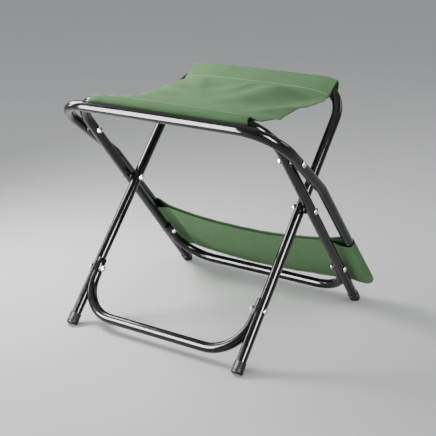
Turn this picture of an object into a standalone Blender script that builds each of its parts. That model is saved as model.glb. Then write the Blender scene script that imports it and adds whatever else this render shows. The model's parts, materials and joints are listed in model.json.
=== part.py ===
"""A folding camp stool: two U-shaped tube frames that cross at a pivot, a fabric seat slung
between their top bars, and a backrest frame, hinged to the outer frame and folded down over
the legs, with a fabric cover on its arms.

Metres, +Z up, +X to the sitter's side. The origin is on the floor, midway along the outline.
"""

import math

import bmesh
import bpy
from mathutils import Matrix, Vector

# Tube
TUBE_R = 0.008
TUBE_WALL = 0.0012
BORE_R = TUBE_R - TUBE_WALL
TUBE_SIDES = 16
BORE_SIDES = 8
BEND_R = 0.062
BEND_STEP = math.radians(11.25)
GAP = 0.0003

# Crossing frames, both standing on the floor and turning about one pivot
PIVOT_HEIGHT = 0.2065
INNER_TILT = math.radians(-41)
OUTER_TILT = math.radians(41.5)
INNER_BAR_HEIGHT = 0.374
OUTER_BAR_HEIGHT = 0.363
INNER_HALF = 0.156
OUTER_HALF = 0.1747
BACKREST_HALF = 0.1947

# Backrest frame
HINGE_FROM_PIVOT = 0.1262
BACKREST_TILT = math.radians(53.5)
BAR_FROM_HINGE = 0.091
KINK_FROM_HINGE = 0.093
KINK = math.radians(10.5)
KINK_R = 0.05
ARM_LENGTH = 0.275

# Stretchers between the lower legs
STRETCHER_HEIGHT = 0.0206
STRETCHER_BOLT_HEIGHT = 0.0775
STRETCHER_TAIL = 0.017
STRETCHER_INSET = 0.0055
PRESSED_INSET = 0.0038
PRESSED_LENGTH = 0.012
PRESSED_EDGE = 0.0003

# Foot caps
CAP_R = 0.0093
CAP_BORE_R = TUBE_R + 2 * GAP
CAP_LENGTH = 0.0185
CAP_SOLE = 0.006
CAP_LIFT = 0.002
CAP_CHAMFER = 0.001
CAP_TAPER = 0.0004

# Bolts, nuts and spacers
SHANK_R = 0.003
HOLE_R = 0.0035
SHANK_SIDES = 12
HEAD_R = 0.0055
HEAD_HEIGHT = 0.0025
NUT_R = 0.0055
NUT_BASE = 0.0032
NUT_BORE = 0.0038
NUT_DOME = 0.0028
NUT_DOME_R = 0.0042
SPACER_R = 0.007

# Fabric
SLEEVE_BORE_R = TUBE_R + 0.0004
SLEEVE_R = SLEEVE_BORE_R + 0.001
FRONT_SLEEVE_HALF = 0.146
REAR_SLEEVE_HALF = 0.1385
PANEL_THICK = 0.002
PANEL_SAG = 0.022
EDGE_SAG = 0.012
PANEL_CELLS = 12
PANEL_REACH = 0.0098
PANEL_RISE = 0.005
PANEL_WAIST = 0.010
COVER_START = 0.158
COVER_DIP = 0.016
COVER_SAG = 0.010
COVER_R = SLEEVE_R + 0.0002
COVER_END = 0.010
COVER_WEB = 0.0016
COVER_BLEND = 0.036
COVER_ARC_POINTS = 5
COVER_WEB_CELLS = 8
COVER_STATIONS = 4

# Plugs in the ends of the backrest's arms
PLUG_HEAD = 0.003
PLUG_STEM = 0.010
PLUG_STEM_R = 0.0058


# ---------------------------------------------------------------- places


def turned(tilt, along, across=0.0):
    """(y, z) of a point `along` a line tilted from vertical towards -Y, `across` to its back."""
    y = -math.sin(tilt) * along + math.cos(tilt) * across
    z = math.cos(tilt) * along + math.sin(tilt) * across
    return y, z


def bar_reach(height, tilt):
    """How far the bar's centre is from the pivot, along the legs."""
    return (height - PIVOT_HEIGHT) / math.cos(tilt)


def floor_reach(tilt):
    """How far the floor is from the pivot, down along the legs."""
    return PIVOT_HEIGHT / math.cos(tilt)


INNER_BAR = bar_reach(INNER_BAR_HEIGHT, INNER_TILT)
OUTER_BAR = bar_reach(OUTER_BAR_HEIGHT, OUTER_TILT)
HINGE_Y, HINGE_RISE = turned(OUTER_TILT, HINGE_FROM_PIVOT)


def back_edge():
    """How far behind the pivot the backrest cover's closed end comes."""
    arm_tilt = BACKREST_TILT - KINK
    kink_y, _ = turned(BACKREST_TILT, -KINK_FROM_HINGE)
    end_y, _ = turned(arm_tilt, -(ARM_LENGTH + COVER_END), COVER_R)
    return HINGE_Y + kink_y + end_y


def front_edge():
    """How far in front of the pivot the inner frame's foot caps come."""
    cap_y, _ = turned(INNER_TILT, CAP_LIFT - floor_reach(INNER_TILT), -CAP_R)
    return cap_y


PIVOT_Y = -(back_edge() + front_edge()) / 2
PIVOT = Vector((0, PIVOT_Y, PIVOT_HEIGHT))
HINGE = PIVOT + Vector((0, HINGE_Y, HINGE_RISE))


# ---------------------------------------------------------------- building blocks


def material(name, colour, roughness, metallic=0.0):
    made = bpy.data.materials.new(name)
    made.use_nodes = True
    shader = made.node_tree.nodes["Principled BSDF"]
    shader.inputs["Base Color"].default_value = (*colour, 1)
    shader.inputs["Roughness"].default_value = roughness
    shader.inputs["Metallic"].default_value = metallic
    return made


def add(name, bm, skin, parent, sharp=40):
    """Makes an object from `bm`, shaded smooth, under the parent empty."""
    bmesh.ops.recalc_face_normals(bm, faces=bm.faces)
    mesh = bpy.data.meshes.new(name)
    bm.to_mesh(mesh)
    bm.free()
    mesh.shade_smooth()
    mesh.set_sharp_from_angle(angle=math.radians(sharp))
    mesh.materials.append(skin)
    made = bpy.data.objects.new(name, mesh)
    bpy.context.scene.collection.objects.link(made)
    made.parent = parent
    return made


def axle(name, place, tilt):
    """An empty on a joint's axis. The frame on it is drawn upright and leans with it."""
    made = bpy.data.objects.new(name, None)
    made.location = place
    made.rotation_euler = (tilt, 0, 0)
    bpy.context.scene.collection.objects.link(made)
    return made


def rounded(corners, radii):
    """The line through `corners`, with each inner corner turned into an arc."""
    corners = [Vector(corner) for corner in corners]
    line = [corners[0]]
    for before, corner, after, radius in zip(corners, corners[1:], corners[2:], radii):
        back = (before - corner).normalized()
        on = (after - corner).normalized()
        turn = math.pi - back.angle(on)
        setback = radius * math.tan(turn / 2)
        centre = corner + (back + on).normalized() * radius / math.cos(turn / 2)
        first = corner + back * setback - centre
        last = corner + on * setback - centre
        steps = max(2, round(turn / BEND_STEP))
        for step in range(steps + 1):
            share = step / steps
            part = first * math.sin((1 - share) * turn) + last * math.sin(share * turn)
            line.append(centre + part / math.sin(turn))
    line.append(corners[-1])
    return line


def ring(bm, centre, tangent, side, sides, radius):
    """A loop of points about `centre`."""
    side = (side - tangent * side.dot(tangent)).normalized()
    other = tangent.cross(side)
    points = []
    for step in range(sides):
        angle = math.tau * (step + 0.5) / sides
        offset = side * math.cos(angle) + other * math.sin(angle)
        points.append(bm.verts.new(centre + offset * radius))
    return points


def bridge(bm, one, two):
    """Quads between two loops with the same number of points."""
    for step, start in enumerate(one):
        after = (step + 1) % len(one)
        bm.faces.new((start, one[after], two[after], two[step]))


def fill_between(bm, outer, inner):
    """Closes a tube's end. `outer` has a whole number of points for each one of `inner`."""
    ratio = len(outer) // len(inner)
    for step, start in enumerate(inner):
        near = outer[step * ratio : (step + 1) * ratio]
        if ratio > 1:
            bm.faces.new([start] + near)
        after = (step + 1) % len(inner)
        bm.faces.new((start, near[-1], outer[after * ratio], inner[after]))


def tangents(line):
    found = []
    for step in range(len(line)):
        before = line[max(step - 1, 0)]
        after = line[min(step + 1, len(line) - 1)]
        found.append((after - before).normalized())
    return found


def swept(line, normal, radius, bore, bore_sides=BORE_SIDES, leg=None):
    """A tube along a flat `line` whose plane has this normal. `leg` is how far out the legs
    stand that the tube is pressed round."""
    bm = bmesh.new()
    skins = []
    for sides, size in ((TUBE_SIDES, radius), (bore_sides, bore)):
        loops = []
        for centre, tangent in zip(line, tangents(line)):
            loop = ring(bm, centre, tangent, normal.cross(tangent), sides, size)
            if leg:
                press_round(loop, centre, leg, TUBE_R + GAP + radius - size)
            loops.append(loop)
        for one, two in zip(loops, loops[1:]):
            bridge(bm, one, two)
        skins.append(loops)
    for end in (0, -1):
        fill_between(bm, skins[0][end], skins[1][end])
    return bm


def press_round(loop, centre, leg, clear):
    """Pushes a loop's points in until they are `clear` of the centre line of the leg. The far
    side keeps a little further off, so that the edges are not sharp."""
    for vert in loop:
        far = abs(vert.co.x) < abs(centre.x)
        reach = clear + (PRESSED_EDGE if far else 0)
        limit = leg - math.sqrt(reach**2 - vert.co.y**2)
        if abs(vert.co.x) > limit:
            vert.co.x = math.copysign(limit, vert.co.x)


def round_tube(line, normal):
    return swept(line, normal, TUBE_R, BORE_R)


def turned_solid(profile, sides=SHANK_SIDES, phase=0.0):
    """A solid turned about +X from (x, radius) points, which start and end on the axis."""
    bm = bmesh.new()
    loops = []
    for x, radius in profile:
        if radius == 0:
            loops.append([bm.verts.new((x, 0, 0))])
            continue
        loop = []
        for step in range(sides):
            angle = math.tau * step / sides + phase
            loop.append(bm.verts.new((x, radius * math.cos(angle), radius * math.sin(angle))))
        loops.append(loop)
    for one, two in zip(loops, loops[1:]):
        if len(one) == 1 or len(two) == 1:
            tip, rim = (one[0], two) if len(one) == 1 else (two[0], one)
            for step, start in enumerate(rim):
                bm.faces.new((start, rim[(step + 1) % sides], tip))
        else:
            bridge(bm, one, two)
    return bm


def turned_ring(profile, sides=TUBE_SIDES):
    """A ring turned about +X from a closed profile of (x, radius) points."""
    bm = bmesh.new()
    loops = []
    for x, radius in profile:
        loop = []
        for step in range(sides):
            angle = math.tau * (step + 0.5) / sides
            loop.append(bm.verts.new((x, radius * math.cos(angle), radius * math.sin(angle))))
        loops.append(loop)
    for one, two in zip(loops, loops[1:] + loops[:1]):
        bridge(bm, one, two)
    return bm


def cut(target, cutters):
    for cutter in cutters:
        modifier = target.modifiers.new(cutter.name, "BOOLEAN")
        modifier.operation = "DIFFERENCE"
        modifier.solver = "EXACT"
        modifier.object = cutter


def cutter(name, bm, parent):
    made = add(name, bm, STEEL, parent)
    made.hide_render = True
    made.display_type = "WIRE"
    return made


def drill(name, parent, along, length, x):
    """A cutter across a tube, for a bolt that runs along X."""
    bm = turned_solid([(-length, 0), (-length, HOLE_R), (length, HOLE_R), (length, 0)])
    made = cutter(name, bm, parent)
    made.location = (x, 0, along)
    return made


# ---------------------------------------------------------------- pieces


def frame_line(half, bar, foot):
    corners = [(-half, 0, foot), (-half, 0, bar), (half, 0, bar), (half, 0, foot)]
    return rounded(corners, [BEND_R, BEND_R])


def crossing_frame(name, parent, half, bar, tilt, holes):
    """A U of tube, drawn upright with the pivot at the origin, and its two foot caps."""
    floor = -floor_reach(tilt)
    foot = floor + CAP_LIFT + CAP_SOLE + GAP
    frame = add(name, round_tube(frame_line(half, bar, foot), Vector((0, 1, 0))), PAINT, parent)
    for side, sign in (("left", -1), ("right", 1)):
        drills = []
        for index, along in enumerate(holes):
            drills.append(drill(f"{name}_drill_{side}_{index}", parent, along, 2 * TUBE_R, sign * half))
        cut(frame, drills)
        foot_cap(f"{name}_foot_{side}", parent, sign * half, floor, tilt)
    return frame


def foot_cap(name, parent, x, floor, tilt):
    """A push-on cap, with its sole cut level where it meets the floor."""
    bottom = floor + CAP_LIFT
    top = bottom + CAP_LENGTH
    seat = bottom + CAP_SOLE
    bm = turned_solid(
        [
            (bottom, 0),
            (bottom, CAP_R - CAP_CHAMFER),
            (bottom + CAP_CHAMFER, CAP_R),
            (top, CAP_R - CAP_TAPER),
            (top, CAP_BORE_R),
            (seat, CAP_BORE_R),
            (seat, 0),
        ],
        sides=TUBE_SIDES,
        phase=math.pi / TUBE_SIDES,
    )
    # The profile runs along +X: stand it up along +Z, at the leg.
    stand = Matrix.Translation((x, 0, 0)) @ Matrix.Rotation(-math.pi / 2, 4, "Y")
    bmesh.ops.transform(bm, matrix=stand, verts=bm.verts)
    ground = Vector((0, math.sin(tilt), math.cos(tilt)))
    found = bmesh.ops.bisect_plane(
        bm,
        geom=bm.verts[:] + bm.edges[:] + bm.faces[:],
        plane_co=(0, 0, floor),
        plane_no=-ground,
        clear_outer=True,
    )
    rim = [edge for edge in found["geom_cut"] if isinstance(edge, bmesh.types.BMEdge)]
    bmesh.ops.contextual_create(bm, geom=rim)
    return add(name, bm, CAP, parent)


def stretcher(name, parent, half, tilt):
    """A low U of tube inside a frame's legs, pressed round them where it is bolted on."""
    floor = -floor_reach(tilt)
    low = floor + STRETCHER_HEIGHT / math.cos(tilt)
    bolt = floor + STRETCHER_BOLT_HEIGHT / math.cos(tilt)
    arm_x = half - STRETCHER_INSET
    end_x = half - PRESSED_INSET
    top = bolt + STRETCHER_TAIL
    arm_top = bolt - PRESSED_LENGTH
    corners = [(-arm_x, 0, arm_top), (-arm_x, 0, low), (arm_x, 0, low), (arm_x, 0, arm_top)]
    left = [Vector((-end_x, 0, top)), Vector((-end_x, 0, bolt - HEAD_R))]
    right = [Vector((end_x, 0, bolt - HEAD_R)), Vector((end_x, 0, top))]
    line = left + rounded(corners, [BEND_R, BEND_R]) + right
    bar = add(name, swept(line, Vector((0, 1, 0)), TUBE_R, BORE_R, leg=half), PAINT, parent)
    for side, sign in (("left", -1), ("right", 1)):
        cut(bar, [drill(f"{name}_drill_{side}", parent, bolt, 2 * TUBE_R, sign * end_x)])
    return bolt


def backrest_line():
    """The backrest tube's line, drawn with the hinge at the origin and its bar above it."""
    arm_y = math.sin(KINK) * ARM_LENGTH
    arm_z = math.cos(KINK) * ARM_LENGTH
    end = (BACKREST_HALF, -arm_y, -KINK_FROM_HINGE - arm_z)
    kink = (BACKREST_HALF, 0, -KINK_FROM_HINGE)
    corner = (BACKREST_HALF, 0, BAR_FROM_HINGE)
    right = [Vector(place) for place in (end, kink, corner)]
    left = [Vector((-place.x, place.y, place.z)) for place in reversed(right)]
    return rounded(right + left, [KINK_R, BEND_R, BEND_R, KINK_R])


def arm_frame():
    """Turns (x, along the arm from the kink, out of the arms' plane) into the backrest's frame."""
    down = Vector((0, -math.sin(KINK), -math.cos(KINK)))
    out = Vector((0, math.cos(KINK), -math.sin(KINK)))
    turn = Matrix((Vector((1, 0, 0)), down, out)).transposed().to_4x4()
    return Matrix.Translation((0, 0, -KINK_FROM_HINGE)) @ turn


def arm_plug(name, parent, x):
    """The end plug that keeps the open tube from cutting through the cover."""
    bm = turned_solid(
        [
            (-PLUG_STEM, 0),
            (-PLUG_STEM, PLUG_STEM_R),
            (GAP, PLUG_STEM_R),
            (GAP, TUBE_R),
            (PLUG_HEAD * 0.6, TUBE_R),
            (PLUG_HEAD, TUBE_R * 0.7),
            (PLUG_HEAD, 0),
        ]
    )
    # The profile runs along +X: turn it to run on from the arm's end.
    along = Matrix.Translation((x, ARM_LENGTH, 0)) @ Matrix.Rotation(math.pi / 2, 4, "Z")
    bmesh.ops.transform(bm, matrix=arm_frame() @ along, verts=bm.verts)
    return add(name, bm, CAP, parent)


def cover_outline():
    """The (x, height) points of the upper and lower half of the cover's section across the
    arms, both from +X to -X. The halves share their end points, which only the upper one lists."""
    arc = []
    for step in range(COVER_ARC_POINTS):
        angle = math.pi / 2 * step / (COVER_ARC_POINTS - 1)
        arc.append((BACKREST_HALF + COVER_R * math.cos(angle), COVER_R * math.sin(angle)))
    flat = BACKREST_HALF - COVER_BLEND
    web = []
    for step in range(COVER_WEB_CELLS + 1):
        web.append((flat * (1 - 2 * step / COVER_WEB_CELLS), COVER_WEB))
    mirrored = [(-x, height) for x, height in reversed(arc)]
    upper = arc + web + mirrored
    lower = [(x, -height) for x, height in upper[1:-1]]
    return upper, lower


def between_arms(x):
    """How far a point of the cover is from its two lobes: 1 in the middle, and 0 on them."""
    flat = BACKREST_HALF - COVER_BLEND
    return max(0, 1 - (x / flat) ** 2)


def backrest_cover(parent):
    """A closed-ended pocket over both arms. Between them its two layers lie together and sag
    towards the legs, and the edge of its mouth dips."""
    upper, lower = cover_outline()
    end = ARM_LENGTH + COVER_END
    bm = bmesh.new()
    rows = []
    for station in range(COVER_STATIONS + 1):
        share = station / COVER_STATIONS
        halves = []
        for half in (upper, lower):
            points = []
            for x, height in half:
                start = COVER_START + COVER_DIP * between_arms(x)
                sagged = height - COVER_SAG * between_arms(x)
                points.append(bm.verts.new((x, start + (end - start) * share, sagged)))
            halves.append(points)
        top, bottom = halves
        rows.append((top, [top[0]] + bottom + [top[-1]]))
    for one, two in zip(rows, rows[1:]):
        for side in (0, 1):
            for step in range(len(upper) - 1):
                quad = (one[side][step], one[side][step + 1], two[side][step + 1], two[side][step])
                bm.faces.new(quad)
    lobe = COVER_ARC_POINTS + 1
    for top, bottom in (rows[0], rows[-1]):
        bm.faces.new(top[:lobe] + bottom[1:lobe][::-1])
        bm.faces.new(top[-lobe:] + bottom[-lobe:-1][::-1])
        for step in range(lobe - 1, len(upper) - lobe):
            bm.faces.new((top[step], top[step + 1], bottom[step + 1], bottom[step]))
    bmesh.ops.transform(bm, matrix=arm_frame(), verts=bm.verts)
    cover = add("backrest_cover", bm, COVER_CLOTH, parent)
    bores = []
    for side, sign in (("left", -1), ("right", 1)):
        low = COVER_START - COVER_R
        high = ARM_LENGTH + PLUG_HEAD + 2 * GAP
        bore = turned_solid(
            [(low, 0), (low, SLEEVE_BORE_R), (high, SLEEVE_BORE_R), (high, 0)],
            sides=TUBE_SIDES,
            phase=math.pi / TUBE_SIDES,
        )
        along = Matrix.Translation((sign * BACKREST_HALF, 0, 0)) @ Matrix.Rotation(math.pi / 2, 4, "Z")
        bmesh.ops.transform(bore, matrix=arm_frame() @ along, verts=bore.verts)
        bores.append(cutter(f"cover_bore_{side}", bore, parent))
    cut(cover, bores)


def bolt_and_nut(name, parent, side, along, head_x, nut_x):
    """A domed bolt through the tubes from outside, and its cap nut inside."""
    tip = nut_x - NUT_BORE + GAP
    bolt = turned_solid(
        [
            (tip, 0),
            (tip, SHANK_R),
            (head_x, SHANK_R),
            (head_x, HEAD_R),
            (head_x + HEAD_HEIGHT * 0.3, HEAD_R),
            (head_x + HEAD_HEIGHT * 0.8, HEAD_R * 0.65),
            (head_x + HEAD_HEIGHT, HEAD_R * 0.25),
            (head_x + HEAD_HEIGHT, 0),
        ]
    )
    nut = turned_solid(
        [
            (nut_x - NUT_BORE, 0),
            (nut_x - NUT_BORE, HOLE_R),
            (nut_x, HOLE_R),
            (nut_x, NUT_R),
            (nut_x - NUT_BASE, NUT_R),
            (nut_x - NUT_BASE, NUT_DOME_R),
            (nut_x - NUT_BASE - NUT_DOME * 0.7, NUT_DOME_R * 0.75),
            (nut_x - NUT_BASE - NUT_DOME, 0),
        ]
    )
    for vert in nut.verts:
        flatten_to_hexagon(vert)
    turn = 0 if side == "right" else math.pi
    for kind, bm in (("bolt", bolt), ("nut", nut)):
        made = add(f"{name}_{kind}_{side}", bm, STEEL, parent, sharp=30)
        made.location.z = along
        made.rotation_euler.z = turn


def flatten_to_hexagon(vert):
    """Pulls every other point of a nut's rim in, which leaves six flats."""
    radius = math.hypot(vert.co.y, vert.co.z)
    if abs(radius - NUT_R) > 1e-5:
        return
    step = round(math.atan2(vert.co.z, vert.co.y) * SHANK_SIDES / math.tau)
    if step % 2:
        vert.co.yz *= math.cos(math.tau / SHANK_SIDES)


def spacer(name, parent, side, along, low, high):
    bm = turned_ring([(low, HOLE_R), (low, SPACER_R), (high, SPACER_R), (high, HOLE_R)])
    made = add(f"{name}_{side}", bm, CAP, parent)
    made.location.z = along
    made.rotation_euler.z = 0 if side == "right" else math.pi


def joint_hardware(name, parent, along, outer_half, inner_half):
    """Bolt, nut and spacer where one frame turns on another, on both sides."""
    for side in ("left", "right"):
        head_x = outer_half + TUBE_R + GAP
        nut_x = inner_half - TUBE_R - GAP
        bolt_and_nut(name, parent, side, along, head_x, nut_x)
        low = inner_half + TUBE_R + GAP
        high = outer_half - TUBE_R - GAP
        spacer(f"{name}_spacer", parent, side, along, low, high)


def stretcher_hardware(name, parent, half, along):
    for side in ("left", "right"):
        head_x = half + TUBE_R + GAP
        nut_x = half - PRESSED_INSET - TUBE_R - GAP
        bolt_and_nut(name, parent, side, along, head_x, nut_x)


def sleeve(name, parent, half, bar, reach):
    """The hem that wraps a seat bar, over the part of the bar within `reach` of the middle."""
    line = []
    for place in frame_line(half, bar, 0):
        if abs(place.x) <= reach and place.z > bar - BEND_R:
            line.append(place)
    bm = swept(line, Vector((0, 1, 0)), SLEEVE_R, SLEEVE_BORE_R, bore_sides=TUBE_SIDES)
    add(name, bm, SEAT_CLOTH, parent)


def bar_point(half, bar, tilt, x, reach):
    """A point beside a seat bar at this x, `reach` behind its centre line."""
    into_bend = max(0, abs(x) - (half - BEND_R)) / BEND_R
    drop = BEND_R * (1 - math.sqrt(1 - into_bend**2))
    y, z = turned(tilt, bar - drop)
    return PIVOT + Vector((x, y + reach, z + PANEL_RISE))


def seat_panel():
    """The sling between the two hems, sagging most in the middle of the seat."""
    bm = bmesh.new()
    layers = []
    for lift in (PANEL_THICK / 2, -PANEL_THICK / 2):
        rows = []
        for row in range(PANEL_CELLS + 1):
            v = row / PANEL_CELLS
            bow = 4 * v * (1 - v)
            points = []
            for column in range(PANEL_CELLS + 1):
                u = 2 * column / PANEL_CELLS - 1
                front = bar_point(OUTER_HALF, OUTER_BAR, OUTER_TILT, u * FRONT_SLEEVE_HALF, PANEL_REACH)
                back = bar_point(INNER_HALF, INNER_BAR, INNER_TILT, u * REAR_SLEEVE_HALF, -PANEL_REACH)
                place = front.lerp(back, v)
                place.x -= u * PANEL_WAIST * bow
                place.z -= (EDGE_SAG + (PANEL_SAG - EDGE_SAG) * (1 - u * u)) * bow
                place.z += lift
                points.append(bm.verts.new(place))
            rows.append(points)
        layers.append(rows)
        for one, two in zip(rows, rows[1:]):
            for step in range(PANEL_CELLS):
                bm.faces.new((one[step], one[step + 1], two[step + 1], two[step]))
    top, bottom = (rim_of(rows) for rows in layers)
    bridge(bm, top, bottom)
    add("seat_panel", bm, SEAT_CLOTH, None)


def rim_of(rows):
    """The points round the edge of a grid, in order."""
    right = [row[-1] for row in rows[1:-1]]
    left = [row[0] for row in rows[1:-1]]
    return rows[0] + right + rows[-1][::-1] + left[::-1]


# ---------------------------------------------------------------- the stool

for old in list(bpy.data.objects):
    bpy.data.objects.remove(old)

PAINT = material("black_gloss_paint", (0.012, 0.012, 0.014), 0.18)
CAP = material("black_plastic", (0.03, 0.03, 0.033), 0.45)
STEEL = material("zinc_steel", (0.72, 0.74, 0.76), 0.25, 1.0)
SEAT_CLOTH = material("seat_cloth", (0.16, 0.26, 0.15), 0.85)
COVER_CLOTH = material("cover_cloth", (0.14, 0.23, 0.13), 0.85)

outer_axle = axle("outer_frame_axle", PIVOT, OUTER_TILT)
inner_axle = axle("inner_frame_axle", PIVOT, INNER_TILT)
backrest_axle = axle("backrest_axle", HINGE, BACKREST_TILT)

front_bolt = stretcher("front_stretcher", inner_axle, INNER_HALF, INNER_TILT)
rear_bolt = stretcher("rear_stretcher", outer_axle, OUTER_HALF, OUTER_TILT)
crossing_frame("inner_frame", inner_axle, INNER_HALF, INNER_BAR, INNER_TILT, [0, front_bolt])
crossing_frame(
    "outer_frame",
    outer_axle,
    OUTER_HALF,
    OUTER_BAR,
    OUTER_TILT,
    [0, HINGE_FROM_PIVOT, rear_bolt],
)
stretcher_hardware("front_stretcher", inner_axle, INNER_HALF, front_bolt)
stretcher_hardware("rear_stretcher", outer_axle, OUTER_HALF, rear_bolt)
joint_hardware("main_pivot", outer_axle, 0, OUTER_HALF, INNER_HALF)
joint_hardware("backrest_hinge", outer_axle, HINGE_FROM_PIVOT, BACKREST_HALF, OUTER_HALF)

backrest = add("backrest_frame", round_tube(backrest_line(), Vector((0, 1, 0))), PAINT, backrest_axle)
for side, sign in (("left", -1), ("right", 1)):
    x = sign * BACKREST_HALF
    cut(backrest, [drill(f"backrest_drill_{side}", backrest_axle, 0, 2 * TUBE_R, x)])
    arm_plug(f"arm_plug_{side}", backrest_axle, x)

sleeve("seat_front_sleeve", outer_axle, OUTER_HALF, OUTER_BAR, FRONT_SLEEVE_HALF)
sleeve("seat_rear_sleeve", inner_axle, INNER_HALF, INNER_BAR, REAR_SLEEVE_HALF)
seat_panel()
backrest_cover(backrest_axle)
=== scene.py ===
"""The looks of the folding camp stool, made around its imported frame. Metres, +Z up."""

import json
import math

import bpy
import numpy as np
from mathutils import Matrix, Vector, noise


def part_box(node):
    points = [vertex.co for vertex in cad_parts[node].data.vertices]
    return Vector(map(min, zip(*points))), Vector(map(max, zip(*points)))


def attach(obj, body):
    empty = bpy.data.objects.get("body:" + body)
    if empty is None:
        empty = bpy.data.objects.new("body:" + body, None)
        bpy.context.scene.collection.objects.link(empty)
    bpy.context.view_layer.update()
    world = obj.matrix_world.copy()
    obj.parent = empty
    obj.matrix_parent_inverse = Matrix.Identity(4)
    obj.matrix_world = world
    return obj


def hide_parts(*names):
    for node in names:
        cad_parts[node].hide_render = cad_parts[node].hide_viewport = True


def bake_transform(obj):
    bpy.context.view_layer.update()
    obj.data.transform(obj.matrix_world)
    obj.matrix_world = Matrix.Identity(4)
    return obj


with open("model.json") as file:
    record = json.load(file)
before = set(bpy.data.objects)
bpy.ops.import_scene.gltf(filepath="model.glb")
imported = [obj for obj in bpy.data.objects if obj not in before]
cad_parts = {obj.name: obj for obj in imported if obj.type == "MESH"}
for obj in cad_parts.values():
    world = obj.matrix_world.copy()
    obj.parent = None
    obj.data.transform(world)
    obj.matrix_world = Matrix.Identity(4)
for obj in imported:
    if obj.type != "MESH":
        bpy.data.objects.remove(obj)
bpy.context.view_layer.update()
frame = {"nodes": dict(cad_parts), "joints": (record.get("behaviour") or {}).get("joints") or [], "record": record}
JOINTS = {joint["name"]: Vector(joint["pos_m"]) for joint in frame["joints"]}
PIVOT = JOINTS["frame_fold"]
HINGE = JOINTS["backrest_hinge"]

# Tube
TUBE_R = 0.008
TUBE_WALL = 0.0012
BEND_R = 0.062
KINK_R = 0.05
TUBE_SIDES = 40
BEND_STEP = math.radians(4.5)
GAP = 0.0003

# Hardware
SHANK_R = 0.003
HEAD_R = 0.0055
HEAD_HEIGHT = 0.0025
HEAD_FLANGE = 0.0009
HEAD_EDGE = 0.0003
NUT_BASE = 0.0032
NUT_DOME = 0.0028
NUT_DOME_R = 0.0039
NUT_HALF_FLAT = 0.0048
NUT_EDGE = 0.0005
NUT_CORNER = 1.13
NUT_FACE = 0.9
NUT_TOP = 0.88
NUT_SIDES = 36
SPACER_HOLE_R = 0.0036
SPACER_EDGE = 0.0004
ROUND_SIDES = 32

# Cloth
CLOTH_THICK = 0.0008
COVER_THICK = 0.0007


# ---------------------------------------------------------------- materials


def shader_material(name):
    """A new material, its Principled shader and its nodes."""
    made = bpy.data.materials.new(name)
    made.use_nodes = True
    nodes = made.node_tree.nodes
    return made, nodes["Principled BSDF"], nodes, made.node_tree.links


def noise_node(nodes, links, coordinates, scale, detail=3.0, roughness=0.5):
    made = nodes.new("ShaderNodeTexNoise")
    made.inputs["Scale"].default_value = scale
    made.inputs["Detail"].default_value = detail
    made.inputs["Roughness"].default_value = roughness
    links.new(coordinates, made.inputs["Vector"])
    return made.outputs["Fac"]


def spread(nodes, links, value, low, high, to_low, to_high):
    """Maps a value from one range to another."""
    made = nodes.new("ShaderNodeMapRange")
    for name, number in zip(("From Min", "From Max", "To Min", "To Max"), (low, high, to_low, to_high)):
        made.inputs[name].default_value = number
    links.new(value, made.inputs["Value"])
    return made.outputs["Result"]


def mixed(nodes, links, share, one, two):
    """A colour between `one` and `two`."""
    made = nodes.new("ShaderNodeMix")
    made.data_type = "RGBA"
    links.new(share, made.inputs["Factor"])
    for name, colour in (("A", one), ("B", two)):
        socket = [each for each in made.inputs if each.name == name and each.type == "RGBA"][0]
        if isinstance(colour, tuple):
            socket.default_value = (*colour, 1)
        else:
            links.new(colour, socket)
    return [each for each in made.outputs if each.type == "RGBA"][0]


def bump(nodes, links, shader, height, distance, strength=1.0, under=None):
    made = nodes.new("ShaderNodeBump")
    made.inputs["Strength"].default_value = strength
    made.inputs["Distance"].default_value = distance
    links.new(height, made.inputs["Height"])
    if under is not None:
        links.new(under, made.inputs["Normal"])
    links.new(made.outputs["Normal"], shader.inputs["Normal"])
    return made.outputs["Normal"]


def place_of(nodes):
    return nodes.new("ShaderNodeTexCoord").outputs["Object"]


def gloss_paint():
    """Black powder coat: deep gloss, a faint orange peel and fine dust."""
    made, shader, nodes, links = shader_material("gloss_black_paint")
    place = place_of(nodes)
    dust = noise_node(nodes, links, place, 340, 4, 0.6)
    tone = spread(nodes, links, dust, 0.45, 0.8, 0, 1)
    colour = mixed(nodes, links, tone, (0.0035, 0.0033, 0.0037), (0.008, 0.0075, 0.008))
    links.new(colour, shader.inputs["Base Color"])
    smear = noise_node(nodes, links, place, 38, 3, 0.55)
    links.new(spread(nodes, links, smear, 0.3, 0.75, 0.1, 0.19), shader.inputs["Roughness"])
    shader.inputs["Specular IOR Level"].default_value = 0.42
    peel = noise_node(nodes, links, place, 420, 2, 0.4)
    bump(nodes, links, shader, peel, 0.00004, 0.35)
    return made


def cap_plastic():
    """Soft black plastic with a purple cast, a moulded grain and scuffs."""
    made, shader, nodes, links = shader_material("black_cap_plastic")
    place = place_of(nodes)
    scuff = noise_node(nodes, links, place, 160, 5, 0.65)
    tone = spread(nodes, links, scuff, 0.5, 0.85, 0, 1)
    colour = mixed(nodes, links, tone, (0.021, 0.017, 0.023), (0.06, 0.053, 0.06))
    links.new(colour, shader.inputs["Base Color"])
    links.new(spread(nodes, links, scuff, 0.3, 0.8, 0.32, 0.5), shader.inputs["Roughness"])
    shader.inputs["Specular IOR Level"].default_value = 0.22
    grain = noise_node(nodes, links, place, 1500, 2, 0.5)
    bump(nodes, links, shader, grain, 0.00005, 0.4)
    return made


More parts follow.
